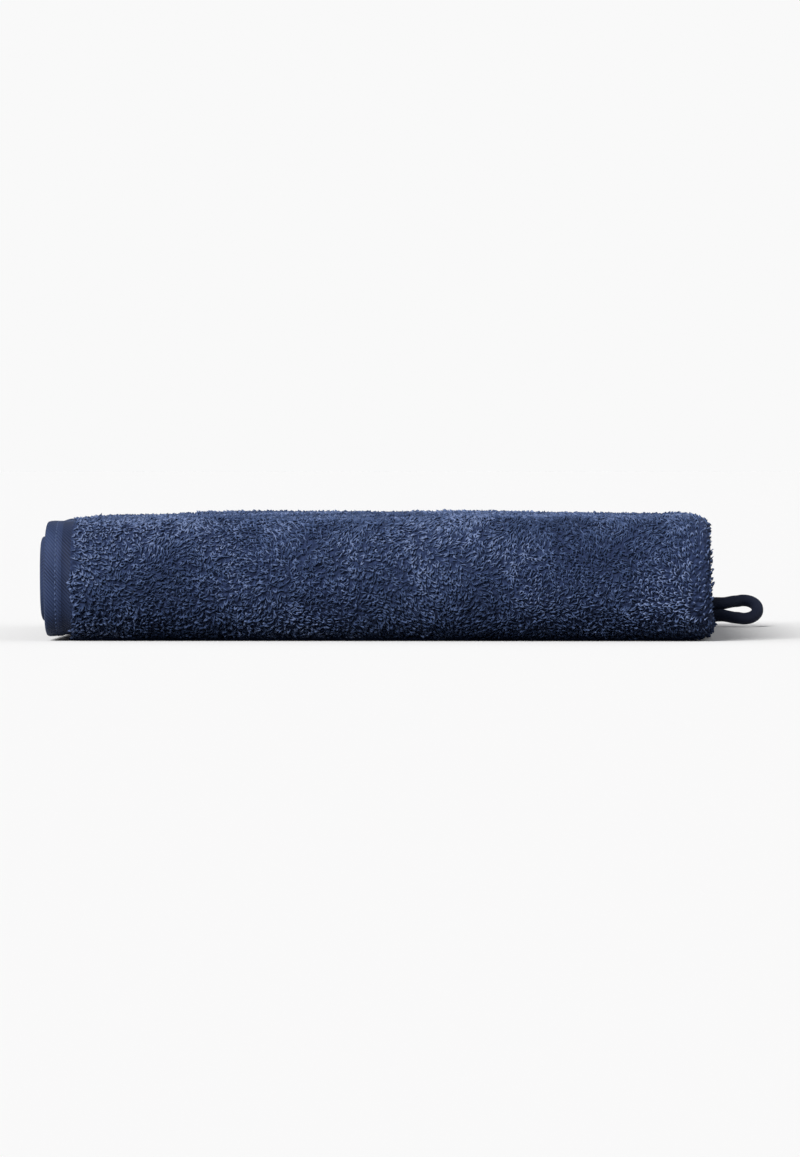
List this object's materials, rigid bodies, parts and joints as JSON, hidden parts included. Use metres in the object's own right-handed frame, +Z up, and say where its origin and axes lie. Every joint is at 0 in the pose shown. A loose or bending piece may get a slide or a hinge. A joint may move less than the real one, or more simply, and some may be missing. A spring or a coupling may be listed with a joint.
{
  "type": "folded hand towel",
  "caption": "Terry hand towel folded into a flat stack of eight plies with a round front fold, with a hanging loop sewn to one short hem.",
  "frame": {"origin": "middle of the folded towel's underside, which lies on z = 0", "axes": "+Z up; -Y towards the round front fold; +X towards the lengthwise fold and the hanging loop"},
  "size_m": [0.2778, 0.2564, 0.0473],
  "materials": {
    "terry": "navy cotton terry, loop pile on both faces",
    "band": "smooth dark navy woven cotton"
  },
  "bodies": {
    "root": {"towel": "terry", "hanging_loop": "band"}
  },
  "joints": []
}
